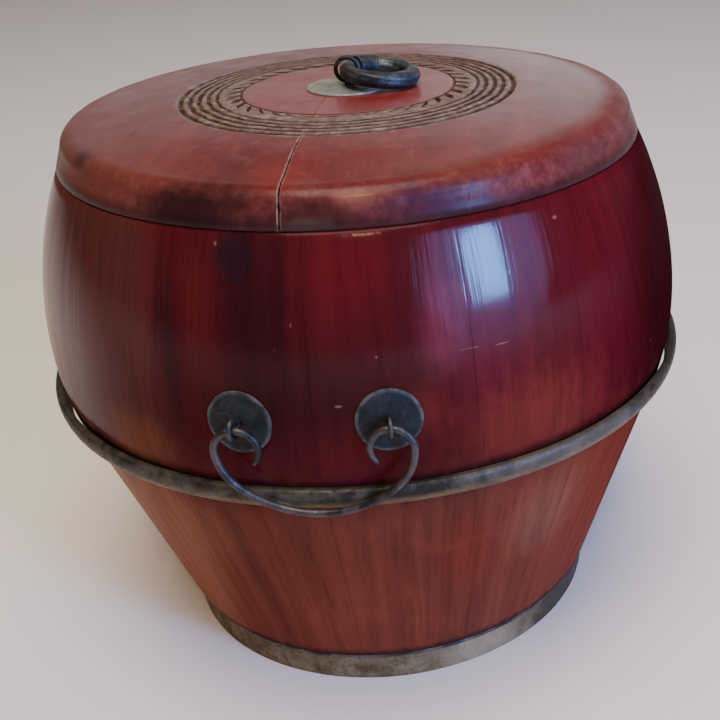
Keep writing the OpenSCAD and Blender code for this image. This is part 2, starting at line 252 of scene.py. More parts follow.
class Material:
    """A Principled material with short calls for the nodes that feed it."""

    def __init__(self, name, **sockets):
        self.data = bpy.data.materials.new(name)
        self.data.use_nodes = True
        self.tree = self.data.node_tree
        self.shader = self.tree.nodes["Principled BSDF"]
        self.at = self.new("TexCoord").outputs["Object"]
        for key, value in sockets.items():
            self.set(key, value)

    def set(self, key, value):
        self.feed(self.shader.inputs[key.replace("_", " ")], value)

    def feed(self, socket, value):
        if isinstance(value, bpy.types.NodeSocket):
            self.tree.links.new(value, socket)
        else:
            socket.default_value = value

    def new(self, kind):
        return self.tree.nodes.new("ShaderNode" + kind)

    def node(self, kind, *values, out=0, **props):
        made = self.new(kind)
        for key, value in props.items():
            setattr(made, key, value)
        for i, value in enumerate(values):
            if value is not None:
                self.feed(made.inputs[i], value)
        return made.outputs[out]

    def math(self, op, a, b=None):
        return self.node("Math", a, b, operation=op)

    def times(self, a, b):
        return self.math("MULTIPLY", a, b)

    def ragged(self, value, grain, amount):
        """A value shifted both ways by a noise."""
        return self.math("ADD", value, self.times(self.math("SUBTRACT", grain, 0.5), amount))

    def vec(self, op, a, b=None, out=0):
        return self.node("VectorMath", a, b, out=out, operation=op)

    def point(self, x, y, z):
        return self.node("CombineXYZ", x, y, z)

    def scaled(self, v, x, y, z):
        return self.vec("MULTIPLY", v, (x, y, z))

    def split(self, v):
        made = self.new("SeparateXYZ")
        self.feed(made.inputs[0], v)
        return made.outputs

    def noise(self, scale, detail=4, rough=0.5, warp=0, v=None):
        """A noise at the place itself, or at another vector."""
        made = self.new("TexNoise")
        for key, value in (("Vector", v or self.at), ("Scale", scale), ("Detail", detail),
                           ("Roughness", rough), ("Distortion", warp)):
            self.feed(made.inputs[key], value)
        return made.outputs[0]

    def spots(self, v, scale):
        """Distance to the nearest of scattered points."""
        made = self.new("TexVoronoi")
        self.feed(made.inputs["Vector"], v)
        self.feed(made.inputs["Scale"], scale)
        return made.outputs["Distance"]

    def ramp(self, fac, *stops):
        """A ramp from pairs of (position, 8-bit colour)."""
        made = self.new("ValToRGB")
        self.feed(made.inputs[0], fac)
        marks = made.color_ramp.elements
        while len(marks) < len(stops):
            marks.new(0.5)
        for mark, (position, colour) in zip(marks, stops):
            mark.position = position
            mark.color = rgb(*colour)
        return made.outputs[0]

    def over(self, fac, low, high, a=0, b=1):
        """Smoothly maps low..high to a..b."""
        return self.node("MapRange", fac, low, high, a, b, interpolation_type="SMOOTHSTEP")

    def mix(self, fac, a, b, blend="MIX"):
        made = self.new("Mix")
        made.data_type, made.blend_type = "RGBA", blend
        for i, value in ((0, fac), (6, a), (7, b)):
            self.feed(made.inputs[i], value)
        return made.outputs[2]

    def paint(self, fac, tint):
        """Lays an 8-bit colour, or a colour from a node, over the base colour so far."""
        tint = tint if isinstance(tint, bpy.types.NodeSocket) else rgb(*tint)
        self.colour = self.mix(fac, self.colour, tint)
        self.set("Base_Color", self.colour)

    def darken(self, fac, tint):
        """Multiplies the base colour so far by a tint, as far as fac says."""
        self.paint(fac, self.mix(1, self.colour, rgb(*tint), "MULTIPLY"))

    def attr(self, name):
        return self.node("Attribute", out="Fac", attribute_name=name)

    def patch(self, centre, radii, edge, amount):
        """1 inside a soft, ragged ellipsoid about a point in millimetres, 0 outside."""
        v = self.vec("SUBTRACT", self.at, tuple(c * MM for c in centre))
        v = self.scaled(v, *(1 / (r * MM) for r in radii))
        d = self.ragged(self.vec("LENGTH", v, out=1), self.noise(160, 3), amount)
        return self.over(d, 1 - edge, 1, 1, 0)

    def bump(self, height, distance_mm, strength=1, under=None):
        made = self.new("Bump")
        made.inputs["Strength"].default_value = strength
        made.inputs["Distance"].default_value = distance_mm * MM
        self.feed(made.inputs["Height"], height)
        if under:
            self.feed(made.inputs["Normal"], under)
        return made.outputs[0]


def side_point(azimuth, z):
    """A point on the body's outside at an azimuth in degrees."""
    a, r = radians(azimuth), outer_at(z)
    return (r * cos(a), r * sin(a), z)


# ---- Materials ----

# Changes of the body's tone along x: where one begins, where it is full, its strength, and its colours
# above and below the hoop.
BODY_TONES = (
    (0.06, 0.13, 0.6, (100, 13, 23), (132, 48, 28)),
    (-0.05, -0.072, 0.8, (82, 44, 38), (148, 96, 72)),
    (0.105, 0.14, 0.85, (40, 8, 8), (96, 40, 28)),
)
# Stained and faded places of the body, and one painted glow: azimuth and height of the middle, half sizes,
# colour, strength.
BODY_STAINS_AND_GLOW = (
    (-97, 206, (24, 40, 60), (44, 14, 16), 0.7), (-107, 208, (9, 30, 34), (92, 30, 26), 0.5),
    (-83, 222, (26, 30, 22), (100, 20, 23), 0.5), (-90, 176, (62, 40, 30), (48, 15, 13), 0.75),
    (-75, 166, (20, 30, 16), (112, 42, 32), 0.45), (-121, 147, (30, 36, 20), (120, 70, 44), 0.6),
    (-112, 188, (7, 30, 50), (34, 18, 15), 0.6), (-101, 226, (11, 20, 14), (30, 22, 28), 0.7),
    (-63, 184, (26, 30, 34), (98, 22, 36), 0.5), (-56, 150, (50, 50, 34), (128, 52, 37), 0.5),
    (-79, 88, (24, 40, 42), (80, 36, 26), 0.4), (-96, 88, (26, 40, 50), (94, 46, 30), 0.45),
    (-66, 84, (20, 40, 40), (122, 42, 28), 0.45), (-118, 100, (30, 40, 34), (140, 92, 66), 0.35),
    # The purplish place at azimuth -70 and height 198 is a painted reflection: the glow round the window's
    # highlight.
    (-49, 92, (26, 30, 44), (130, 86, 62), 0.45), (-70, 198, (13, 30, 26), (116, 48, 60), 0.55),
)
# The body's larger nicks and scratches: azimuth and height of the middle, half sizes.
BODY_NICKS = (
    (-92, 203, (0.8, 0.8, 2.2)), (-86, 172, (1.6, 1.6, 0.7)), (-104, 230, (1, 1, 1.6)),
    (-47, 226, (1.4, 1.4, 0.9)), (-66, 188, (4.5, 4.5, 0.5)), (-61, 187, (3.5, 3.5, 0.4)),
    (-80, 190, (1, 1, 1)), (-58, 212, (0.9, 0.9, 1.6)),
)
# Stains and worn places of the lid, mostly on its front edge, and two painted light marks: middle, half
# sizes, colour, strength.
LID_STAINS_AND_LIGHT = (
    ((-42, -122, 240), (46, 20, 15), (38, 19, 17), 0.92),
    ((-30, -108, 251), (15, 26, 10), (70, 26, 20), 0.45),
    ((4, -129, 239), (30, 9, 10), (50, 24, 20), 0.8), ((2, -130, 236), (16, 6, 4), (98, 80, 60), 0.6),
    ((52, -119, 240), (46, 16, 9), (50, 24, 40), 0.75), ((104, -76, 243), (22, 26, 12), (92, 52, 46), 0.5),
    # The pale orange place at (24, -127, 245) is a painted highlight: the lamp's glint on the rim.
    ((58, -84, 253), (32, 20, 8), (88, 40, 36), 0.3), ((24, -127, 245), (16, 8, 5), (160, 98, 66), 0.42),
    ((-99, -80, 250), (13, 11, 8), (40, 34, 36), 0.75), ((40, -104, 250), (60, 16, 6), (104, 52, 40), 0.4),
    # The saturated red place at (14, -20, 255) is painted shade: the ring's shadow in front of it, where the
    # lid shows no sheen.
    ((-45, 62, 254), (60, 56, 12), (84, 46, 38), 0.45), ((14, -20, 255), (26, 12, 6), (112, 18, 15), 0.7),
    ((-9, -114, 250), (14, 18, 9), (120, 34, 26), 0.6),
)


def bare_inside(m, grain):
    """The unlacquered wood inside the body and under the lid."""
    return m.ramp(grain, (0.3, (96, 62, 40)), (0.5, (140, 98, 64)), (0.7, (168, 124, 84)))


def body_lacquer():
    """Dark glossy lacquer, worn to a duller orange below the hoop, where painted light from the floor also
    lightens it, with bare wood inside.
    """
    m = Material("body_lacquer", Coat_Roughness=0.14, Specular_IOR_Level=0)
    x, y, z = m.split(m.at)
    # The direction from the axis, with the height pressed together, makes streaks that follow the staves.
    direction = m.scaled(m.vec("NORMALIZE", m.point(x, y, 0)), 0.14, 0.14, 0)
    along = m.vec("ADD", direction, m.point(0, 0, m.times(z, 0.06)))
    broad = m.noise(75, 5, 0.55, v=along)
    streak = m.noise(210, 4, 0.6, v=along)
    fine = m.noise(700, 4, 0.65, v=along)
    cloudy = m.noise(20, 5, 0.6, 0.5)

    upper = m.ramp(broad, (0.3, (64, 18, 19)), (0.5, (74, 20, 21)), (0.7, (84, 23, 23)))
    # Below the hoop the colour is paler and more orange: partly wear, partly painted bounce light from the
    # floor.
    lower = m.ramp(broad, (0.3, (94, 46, 34)), (0.5, (108, 53, 37)), (0.7, (122, 62, 43)))
    below = m.over(m.ragged(z, broad, 0.06), 0.145, 0.112)
    m.colour = m.mix(below, upper, lower)
    for begin, full, amount, high_tint, low_tint in BODY_TONES:
        m.paint(m.over(x, begin, full, 0, amount), m.mix(below, rgb(*high_tint), rgb(*low_tint)))
    for azimuth, height, radii, tint, amount in BODY_STAINS_AND_GLOW:
        m.paint(m.times(m.patch(side_point(azimuth, height), radii, 0.85, 0.5), amount), tint)
    m.darken(m.over(streak, 0.4, 0.64, 0, 0.22), (150, 120, 118))
    m.darken(m.over(m.attr("tone"), 0, 1, 0, 0.22), (190, 170, 168))
    m.darken(m.over(fine, 0.54, 0.72, 0, 0.35), (120, 96, 90))
    m.paint(m.times(m.over(cloudy, 0.52, 0.78, 0, 0.25), below), (150, 70, 48))

    # Nicks show the paler ground and the joints are rubbed. Painted shade darkens the body just above the
    # foot and round the hoop.
    dots = m.vec("ADD", m.scaled(direction, 0.6, 0.6, 0.6), m.point(0, 0, m.times(z, 0.45)))
    nicks = m.times(m.over(m.spots(dots, 75), 0.06, 0.025), m.over(m.noise(24, 2), 0.55, 0.6))
    for azimuth, height, radii in BODY_NICKS:
        nicks = m.math("MAXIMUM", nicks, m.patch(side_point(azimuth, height), radii, 0.8, 2))
    m.paint(m.times(nicks, 0.6), (140, 92, 80))
    rub = m.times(m.attr("edge"), m.over(m.noise(40, 4), 0.46, 0.66, 0, 0.45))
    m.paint(rub, (40, 13, 10))
    shade_height = m.ragged(z, streak, 0.008)
    # Painted shadow: the body is darkened just above the foot, where the hem shades it.
    foot_shadow = m.over(shade_height, (HEM_Z + 6) * MM, (HEM_Z + 0.5) * MM, 0, 0.8)
    m.paint(foot_shadow, (26, 14, 16))
    # Painted shade: the body is darkened behind the hoop and just above and below it, where the hoop shades
    # it.
    hoop_shade = m.times(m.over(shade_height, (HOOP_Z + HOOP_H + 5) * MM, (HOOP_Z + HOOP_H) * MM),
                        m.over(shade_height, (HOOP_Z - 3) * MM, HOOP_Z * MM))
    m.paint(m.times(hoop_shade, 0.65), (30, 12, 12))

    inside = m.attr("inside")
    m.paint(inside, bare_inside(m, broad))
    rough = m.over(m.noise(45, 5, 0.6), 0.35, 0.7, 0.34, 0.52)
    m.set("Roughness", m.math("MAXIMUM", rough, m.times(inside, 0.75)))
    # The gloss is best high up at the front and left, and duller at the right and at the mouth's edge.
    front = m.times(m.over(x, 0.09, 0.13, 0.6, 0.03), m.over(z, 0.165, 0.222, 0.12, 1))
    left = m.times(m.over(x, -0.06, -0.11, 0, 0.85), m.over(z, 0.13, 0.19, 0.3, 1))
    mouth = m.over(z, (BODY_H - 4.5) * MM, (BODY_H - 2) * MM, 1, 0.25)
    gloss = m.times(m.math("MAXIMUM", front, left), mouth)
    m.set("Coat_Weight", m.times(m.math("SUBTRACT", 1, inside), gloss))
    grain = m.bump(fine, 0.05, 0.4, m.bump(streak, 0.12, 0.35, m.bump(broad, 0.22, 0.25)))
    m.set("Normal", m.bump(nicks, -0.25, 0.8, grain))
    ripple = m.bump(m.noise(150, 3, 0.6, v=along), 0.16, 0.8, m.bump(cloudy, 0.5, 0.25))
    m.set("Coat_Normal", m.bump(streak, 0.14, 0.8, ripple))
    return m.data


def lid_lacquer():
    """Duller lacquer with stains, the worn carved band, the open joint's lips and bare wood underneath."""
    m = Material("lid_lacquer", Coat_Roughness=0.18, Specular_IOR_Level=0.06)
    x, y, z = m.split(m.at)
    r = m.vec("LENGTH", m.point(x, y, 0), out=1)
    along = m.scaled(m.at, 1, 0.07, 1)
    broad = m.noise(55, 5, 0.55, 0.3, v=along)
    fine = m.noise(380, 4, 0.6, v=along)
    cloudy = m.noise(26, 5, 0.6, 0.5)

    m.colour = m.ramp(broad, (0.3, (86, 26, 23)), (0.5, (100, 29, 25)), (0.7, (116, 36, 30)))
    # The rim is painted paler and greyer: partly dust, partly a painted sheen.
    rim = m.over(z, (LID_TOP - 5) * MM, (LID_TOP - 9) * MM)
    rim_noise = m.noise(240, 4, 0.7)
    dust_and_sheen = m.ramp(rim_noise, (0.35, (80, 34, 28)), (0.5, (96, 46, 38)), (0.65, (116, 64, 54)))
    m.paint(m.times(rim, 0.65), dust_and_sheen)
    mottle = m.noise(150, 5, 0.7)
    m.darken(m.over(mottle, 0.52, 0.7, 0, 0.35), (178, 150, 140))
    m.paint(m.over(mottle, 0.48, 0.3, 0, 0.2), (150, 92, 80))
    # The middle panel is painted paler, a painted sheen, and the left side is painted browner.
    m.paint(m.over(r, 0.05, 0.047, 0, 0.35), (140, 78, 72))
    m.paint(m.over(x, -0.02, -0.1, 0, 0.65), (100, 60, 52))
    m.paint(m.over(cloudy, 0.48, 0.76, 0, 0.35), (96, 50, 38))
    for centre, radii, tint, amount in LID_STAINS_AND_LIGHT:
        m.paint(m.times(m.patch(centre, radii, 0.8, 0.7), amount), tint)
    # The lid's edge is painted darker towards its seat.
    seat_darkening = m.over(z, (LID_Z + 7) * MM, (LID_Z + 1) * MM, 0, 0.7)
    m.paint(seat_darkening, (36, 15, 16))

    # The carved band has lost its colour and is darker at the back. Its cuts are painted darker.
    band_r = m.ragged(r, m.noise(120, 4), 0.007)
    band = m.times(m.over(band_r, 0.0465, 0.0495), m.over(band_r, 0.0785, 0.0755))
    wear = m.noise(200, 5, 0.65)
    worn = m.ramp(wear, (0.3, (84, 66, 56)), (0.5, (112, 94, 80)), (0.72, (146, 130, 112)))
    worn = m.mix(m.over(y, 0.01, 0.065, 0, 0.4), worn, rgb(78, 56, 44))
    bare = m.over(m.noise(34, 3), 0.35, 0.6, 0.78, 0.96)
    m.paint(m.times(band, bare), worn)
    cut_darkening = m.over(m.noise(110, 4, 0.6), 0.34, 0.58, 0.55, 0.92)
    m.paint(m.times(m.over(m.attr("cut"), 0.08, 0.7), cut_darkening), (44, 25, 20))

    # The open joint has pale broken lacquer on both lips, and the left lip is painted paler still, a painted
    # highlight where its edge catches the light.
    off = m.math("ABSOLUTE", m.math("SUBTRACT", x, OPEN_JOINT * MM))
    lips = m.over(m.ragged(off, m.noise(260, 3), 0.0009), 0.0012, 0.0006)
    lips = m.times(lips, m.over(y, -0.06, -0.074))
    lips = m.times(lips, m.over(m.noise(150, 3), 0.38, 0.58, 0.25, 1))
    # Painted highlight: the left lip is painted paler than the right.
    lit_lip = m.over(x, OPEN_JOINT * MM, (OPEN_JOINT + 0.1) * MM, 0.72, 0.3)
    m.paint(m.times(lips, lit_lip), (142, 108, 90))
    m.darken(m.over(fine, 0.55, 0.75, 0, 0.3), (130, 100, 96))
    nicks = m.times(m.over(m.spots(m.at, 120), 0.1, 0.03), m.over(m.noise(30, 2), 0.55, 0.62))
    m.paint(m.times(nicks, 0.5), (66, 34, 30))

    under = m.attr("inside")
    m.paint(under, bare_inside(m, broad))
    rough = m.over(m.noise(55, 5, 0.6), 0.35, 0.7, 0.34, 0.5)
    cuts = m.over(m.attr("cut"), 0, 0.3)
    dull = m.math("MAXIMUM", under, m.math("MAXIMUM", cuts, m.times(band, 0.8)))
    m.set("Roughness", m.math("MAXIMUM", rough, m.times(dull, 0.75)))
    # The top is glossier towards the right. The edge and the front right are duller.
    gloss = m.over(r, 0.11, 0.121, m.over(x, 0.00, 0.1, 0.26, 1), 0.15)
    gloss = m.times(gloss, m.over(m.math("SUBTRACT", x, y), 0.15, 0.175, 1, 0.45))
    m.set("Coat_Weight", m.times(m.math("SUBTRACT", 1, dull), gloss))
    grain = m.bump(fine, 0.07, 0.4, m.bump(broad, 0.2, 0.25))
    m.set("Normal", m.bump(m.times(band, m.spots(m.at, 520)), 0.4, 0.7, grain))
    crinkle = m.bump(m.noise(420, 3, 0.6), 0.1, 0.7)
    m.set("Coat_Normal", m.bump(m.noise(130, 3, 0.55, v=along), 0.12, 0.6, crinkle))
    return m.data


def metal(name, base, worn, dirt, rough, metallic, grain=900, patina=None, rim=None):
    """Old metal, tarnished and worn in clouds, with patches of patina and dirt, and rubbed edges.

    The colours are 8-bit. rim is the rubbed edges' own colour, if it isn't that of the worn places.
    """
    m = Material(name, Metallic=metallic)
    cloudy = m.noise(95, 5, 0.6, 0.4)
    small = m.noise(grain, 4, 0.6)
    m.colour = m.mix(m.over(cloudy, 0.38, 0.62), rgb(*base), rgb(*worn))
    if patina:
        m.paint(m.over(m.noise(60, 4, 0.6), 0.5, 0.62, 0, 0.75), patina)
    m.paint(m.over(small, 0.52, 0.74, 0, 0.75), dirt)
    rubbed = m.times(m.attr("edge"), m.over(m.noise(130, 3, 0.6), 0.36, 0.62, 0.15, 0.85))
    m.paint(rubbed, rim or worn)
    m.set("Roughness", m.over(small, 0.3, 0.75, rough - 0.1, rough + 0.18))
    pits = m.over(m.spots(m.at, grain * 0.7), 0.12, 0.38)
    m.set("Normal", m.bump(small, 0.12, 0.5, m.bump(pits, 0.1, 0.5, m.bump(cloudy, 0.4, 0.4))))
    return m


def hoop_brass():
    """Grey above, a painted reflection of the window, with olive tarnish and rust below, paler at the right
    and painted shade at the far right.
    """
    m = metal("hoop_brass", (37, 33, 25), (78, 71, 57), (36, 25, 16), 0.5, 0.35)
    m.set("Specular_IOR_Level", 0.22)
    x, _, z = m.split(m.at)
    # The top is left grey as a painted reflection of the window, and the lower face gets olive tarnish and
    # rust.
    low = m.over(z, (HOOP_Z + 5.6) * MM, (HOOP_Z + 2.6) * MM)
    tarnish = m.noise(110, 4, 0.6)
    olive = m.ramp(tarnish, (0.3, (58, 40, 22)), (0.5, (92, 70, 40)), (0.7, (122, 98, 60)))
    m.paint(m.times(low, 0.85), olive)
    pale = m.times(m.over(x, 0.045, 0.085, 0, 0.35), m.over(x, 0.13, 0.115))
    m.paint(pale, (116, 106, 90))
    # Painted shade: the far right is darker, on the hoop's shadow side.
    m.paint(m.over(x, 0.125, 0.145, 0, 0.7), (38, 26, 18))
    return m.data


def plate_brass():
    """Nearly black, with paler rims and with rust and grease round the pins."""
    m = metal("plate_brass", (15, 18, 17), (38, 40, 37), (16, 12, 9), 0.56, 0.25, grain=800,
              patina=(18, 28, 31), rim=(104, 97, 88))
    m.set("Specular_IOR_Level", 0.3)
    for azimuth in AZIMUTHS:
        smear = m.patch(side_point(azimuth, PIN_Z - 1.5), (7, 7, 6.5), 0.9, 0.6)
        m.paint(m.times(smear, 0.85), (34, 22, 15))
    return m.data


def foot_brass():
    """Dull brown, with a painted highlight right of the middle, and dark at the far right."""
    m = metal("foot_brass", (92, 74, 46), (128, 110, 78), (54, 38, 20), 0.6, 0.15, grain=800,
              patina=(106, 90, 60))
    m.set("Specular_IOR_Level", 0.12)
    x = m.split(m.at)[0]
    # Painted highlight: the band is painted paler right of the middle.
    pale = m.times(m.over(x, 0.02, 0.05), m.over(x, 0.078, 0.062))
    m.paint(m.times(pale, 0.45), (172, 152, 118))
    m.paint(m.over(x, 0.07, 0.088, 0, 0.8), (60, 50, 38))
    return m.data


def wood(name, dark, middle, light, stretch, scale):
    """Bare wood with its grain stretched along one axis."""
    m = Material(name)
    grain = m.noise(scale, 6, 0.6, 0.5, v=m.scaled(m.at, *stretch))
    m.set("Base_Color", m.ramp(grain, (0.3, dark), (0.5, middle), (0.7, light)))
    m.set("Roughness", m.over(grain, 0.3, 0.7, 0.6, 0.82))
    m.set("Normal", m.bump(grain, 0.3, 0.5))
    return m.data


BODY_LACQUER = body_lacquer()
LID_LACQUER = lid_lacquer()
HOOP_BRASS = hoop_brass()
FOOT_BRASS = foot_brass()
PLATE_BRASS = plate_brass()
LID_PLATE_BRASS = metal("lid_plate_brass", (96, 98, 84), (146, 146, 128), (70, 66, 52), 0.5, 0.35,
                        grain=700, patina=(110, 116, 98)).data
WIRE_IRON = metal("wire_iron", (36, 33, 32), (76, 70, 67), (38, 27, 19), 0.43, 0.6, grain=1100).data
WORN_WIRE = metal("worn_wire", (40, 35, 31), (102, 92, 86), (40, 28, 19), 0.42, 0.6).data
PIN_IRON = metal("pin_iron", (30, 28, 28), (70, 66, 62), (34, 25, 18), 0.45, 0.65, grain=1100).data
RING_IRON = metal("ring_iron", (34, 36, 38), (74, 78, 80), (44, 40, 28), 0.46, 0.65, patina=(60, 58, 42)).data
BARE_WOOD = wood("bare_wood", (98, 66, 42), (146, 104, 68), (176, 134, 92), (1, 0.07, 1), 130)
BAMBOO = wood("bamboo", (150, 118, 72), (186, 154, 102), (206, 178, 126), (1, 1, 0.2), 300)


# ---- Staves ----

def wall_rows(start, end, step):
    """Matched points of the plain wall at even heights."""
    return [((outer_at(z), z), (inner_at(z), z)) for z in np.arange(start, end, step)]


def stave_chain():
    """Matched points of the outside and the inside from the floor to the mouth: ((r, z), (r, z))."""
    foot_in, mouth_in = inner_at(0), MOUTH_R - WALL
    # The bottom's groove is 0.1 mm wider than its boards on each side.
    low, high = BOTTOM_Z - 0.1, BOTTOM_Z + BOTTOM_T + 0.1
    croze_r = inner_at(BOTTOM_Z + BOTTOM_T / 2) + CROZE
    chain = [((FOOT_R, 0), (foot_in, 0)), ((FOOT_R, HEM_Z - 0.4), (foot_in, HEM_Z - 0.4)),
             ((FOOT_R, HEM_Z), (foot_in, HEM_Z - 0.2)), ((HEM_R - 1.2, HEM_Z), (foot_in, HEM_Z - 0.1)),
             ((HEM_R - 0.35, HEM_Z + 0.25), (foot_in, HEM_Z)),
             ((outer_at(HEM_Z + 1.2), HEM_Z + 1.2), (inner_at(HEM_Z + 1.2), HEM_Z + 1.2))]
    chain += wall_rows(HEM_Z + 3, low - 1, 2.2)
    for z, off, inner_r in ((low, -0.3, inner_at(low)), (low, 0.3, croze_r),
                            (high, -0.3, croze_r), (high, 0.3, inner_at(high))):
        chain.append(((outer_at(z + off), z + off), (inner_r, z)))
    chain += wall_rows(high + 2.5, BODY_H - 2.6, 2.4)
    chain += [((outer_at(BODY_H - 1.1) - 0.02, BODY_H - 1.1), (mouth_in, BODY_H - 1)),
              ((MOUTH_R - 0.15, BODY_H - 0.5), (mouth_in, BODY_H - 0.8)),
              ((MOUTH_R - 0.5, BODY_H - 0.15), (mouth_in + 0.25, BODY_H - 0.22)),
              ((MOUTH_R - 1, BODY_H), (mouth_in + 0.8, BODY_H))]
    return chain


CHAIN = stave_chain()
# Each stave ends this far from the middle of its joint, and these are its first columns of points.
JOINT_GAP = 0.03
EDGE_STEPS = (0, 0.25, 0.6, 1.1, 1.8)


def build_stave(i):
    """One stave from joint to joint, slightly uneven, with its outside sunk by a hair at the joints."""
    a0, a1 = joint_at(i), joint_at(i + 1)
    arc_mm = (a1 - a0) * BELLY_R
    inner_steps = np.linspace(EDGE_STEPS[-1], arc_mm - EDGE_STEPS[-1], max(8, int(arc_mm / 2.2)))
    steps = list(EDGE_STEPS[:-1]) + list(inner_steps) + [arc_mm - s for s in EDGE_STEPS[-2::-1]]
    gap = JOINT_GAP / BELLY_R
    tone = float(RNG.uniform(0, 1))
    sunk_left, sunk_right = RNG.uniform(0.01, 0.05, 2)
    loop = [("out", k) for k in range(len(CHAIN))] + [("in", k) for k in reversed(range(len(CHAIN)))]
    verts, inside, edge = [], [], []
    for s in steps:
        a = a0 + gap + (a1 - a0 - 2 * gap) * s / arc_mm
        from_edge = min(s, arc_mm - s)
        depth = (sunk_left if s < arc_mm / 2 else sunk_right) * exp(-from_edge / 0.35)
        for side, k in loop:
            r, z = CHAIN[k][0] if side == "out" else CHAIN[k][1]
            if side == "out" and HEM_Z + 1 < z < BODY_H - 1.5:
                fade = min(1, (z - HEM_Z) / 12, (BODY_H - z) / 10)
                swell = 0.16 * wob(a * 9, z / 70, i) + 0.07 * wob(a * 30, z / 120, i + 40)
                r += fade * (swell - depth * (0.6 + 0.8 * abs(wob(z / 18, i, 3))))
            if side == "in" and HEM_Z + 20 < z < BODY_H - 3:
                r += 0.25 * wob(a * 14, z / 50, i + 80)
            verts.append((r * cos(a), r * sin(a), z))
            inside.append(1 if side == "in" and z < BODY_H - 0.5 or z < 1 else 0)
            edge.append(0.7 * exp(-from_edge / 0.4) if side == "out" else 0)
    per, rows = len(loop), len(steps)
    faces = grid_faces(rows, per, wrap_cols=True)
    for base in (0, (rows - 1) * per):
        faces += [(base + k, base + k + 1, base + per - 2 - k, base + per - 1 - k)
                  for k in range(len(CHAIN) - 1)]
    name = "stave_%02d" % (i + 1)
    add_piece("skin_" + name, verts, faces, BODY_LACQUER, "tub", name, 35,
              {"inside": inside, "edge": edge, "tone": [tone] * len(verts)})


for index in range(STAVES):
    build_stave(index)


# ---- Lid ----

# Radius, half width and depth of each turned groove, then the cut strokes round the middle panel.
GROOVES = ((74.5, 2, 1.2), (70.3, 1.8, 0.9), (66.3, 1.8, 0.85), (62.3, 1.7, 0.75), (58.6, 1.4, 0.45))
STROKES, STROKE_R, STROKE_HALF_L, STROKE_HALF_W, STROKE_LEAN = 38, 51, 5.2, 1.9, 50
# The strokes lie between these radii, and a fine line lies round the panel.
STROKES_FROM, STROKES_TO, PANEL_R = 45, 57, 48
# The front of the lid is worn lower from this radius outwards, and by this much at its edge.
DROOP_FROM, DROOP = 88, 1.8
# The open joint widens forwards from here. The closed joints leave this much on each side.
CRACK_FROM, CLOSED_HALF = -74, 0.01
LID_TURN = 900


def stroke_cut(r, a, k):
    """How deep the k-th stroke is at a place, from 0 to 1. Strokes lean more towards the lid's sides."""
    mid = 2 * pi * (k + 0.5) / STROKES
    lean = radians(-STROKE_LEAN * cos(mid))
    centre_r = STROKE_R + 0.7 * wob(k * 1.7, 0.3, 2)
    outward, sideways = r - centre_r, (a - mid) * STROKE_R
    along = sideways * cos(lean) + outward * sin(lean)
    across = outward * cos(lean) - sideways * sin(lean)
    size = 0.35 + 0.65 * clamped((sin(mid) + 0.8) / 0.5, 0, 1)
    half = STROKE_HALF_W * size * (1 - (along / STROKE_HALF_L) ** 2)
    return 1 - (across / half) ** 2 if half > abs(across) else 0


def carve(r, a):
    """Depth of the carving at a place on the lid, and how much of it is a cut, which is painted darker."""
    depth = cut = 0
    c, s = cos(a), sin(a)
    wave = 0.7 * wob(2.2 * c, 2.2 * s, 4) + 0.45 * wob(11 * c, 11 * s, 8)
    for k, (groove_r, width, deep) in enumerate(GROOVES):
        own = wave * (0.3 if k == 0 else 1) + (0.45 * wob(4 * c, 4 * s, 3 * k) if k else 0)
        d = abs(r - groove_r - own)
        if d < width:
            worn = 0.75 + 0.45 * wob(4 * c, 4 * s, k + 9)
            shape = 0.5 + 0.5 * cos(pi * d / width)
            depth = max(depth, deep * worn * shape)
            cut = max(cut, shape * min(1, 0.5 + 0.5 * worn))
    if STROKES_FROM < r < STROKES_TO:
        nearest = int(a / (2 * pi) * STROKES)
        for k in range(nearest - 2, nearest + 3):
            shape = stroke_cut(r, a, k)
            depth = max(depth, 0.8 * shape)
            cut = max(cut, min(1, 3 * shape))
        line = max(0, 1 - abs(r - PANEL_R - 0.5 * wave) / 0.9)
        depth = max(depth, 0.3 * line)
        cut = max(cut, 0.8 * line)
    return depth, cut


def droop(r, a):
    """How much lower the worn front of the lid lies at a place."""
    t = clamped((r - DROOP_FROM) / (CROWN_R - DROOP_FROM), 0, 1)
    return DROOP * max(0, -sin(a)) ** 2 * t * t * (3 - 2 * t)


def crack_half(y):
    """Half the width of the open joint, widest at the front edge."""
    if y > CRACK_FROM:
        return 0.05
    t = min(1, (CRACK_FROM - y) / 50)
    return 0.16 + 0.22 * t + 0.04 * wob(y / 9, 1, 2)


def lid_rings():
    """Radius and height of each ring of the lid's points. On the carved top the height is None."""
    radii = list(np.arange(0, 44, 2.2)) + list(np.arange(44, 77.6, 0.42)) \
        + list(np.arange(78.5, CROWN_R - 1, 2)) + [CROWN_R]
    rings = [(r, None) for r in radii[1:]]
    rings += [(CROWN_R + ROUND_R * sin(radians(t)), EDGE_H + ROUND_R * cos(radians(t)))
              for t in range(7, 91, 7)]
    rings += [(MOUTH_R - LEAN * 0.6, EDGE_H * 0.68), (MOUTH_R - LEAN * 0.3, EDGE_H * 0.4), (MOUTH_R, 0.8),
              (MOUTH_R - 0.25, 0.25), (MOUTH_R - 0.8, 0), (LIP_R + 0.01, 0), (LIP_R, -0.3),
              (LIP_R, 0.8 - LIP_DEPTH), (LIP_R - 0.25, 0.25 - LIP_DEPTH), (LIP_R - 0.8, -LIP_DEPTH)]
    return rings + [(r, -LIP_DEPTH) for r in (100, 75, 50, 25)]


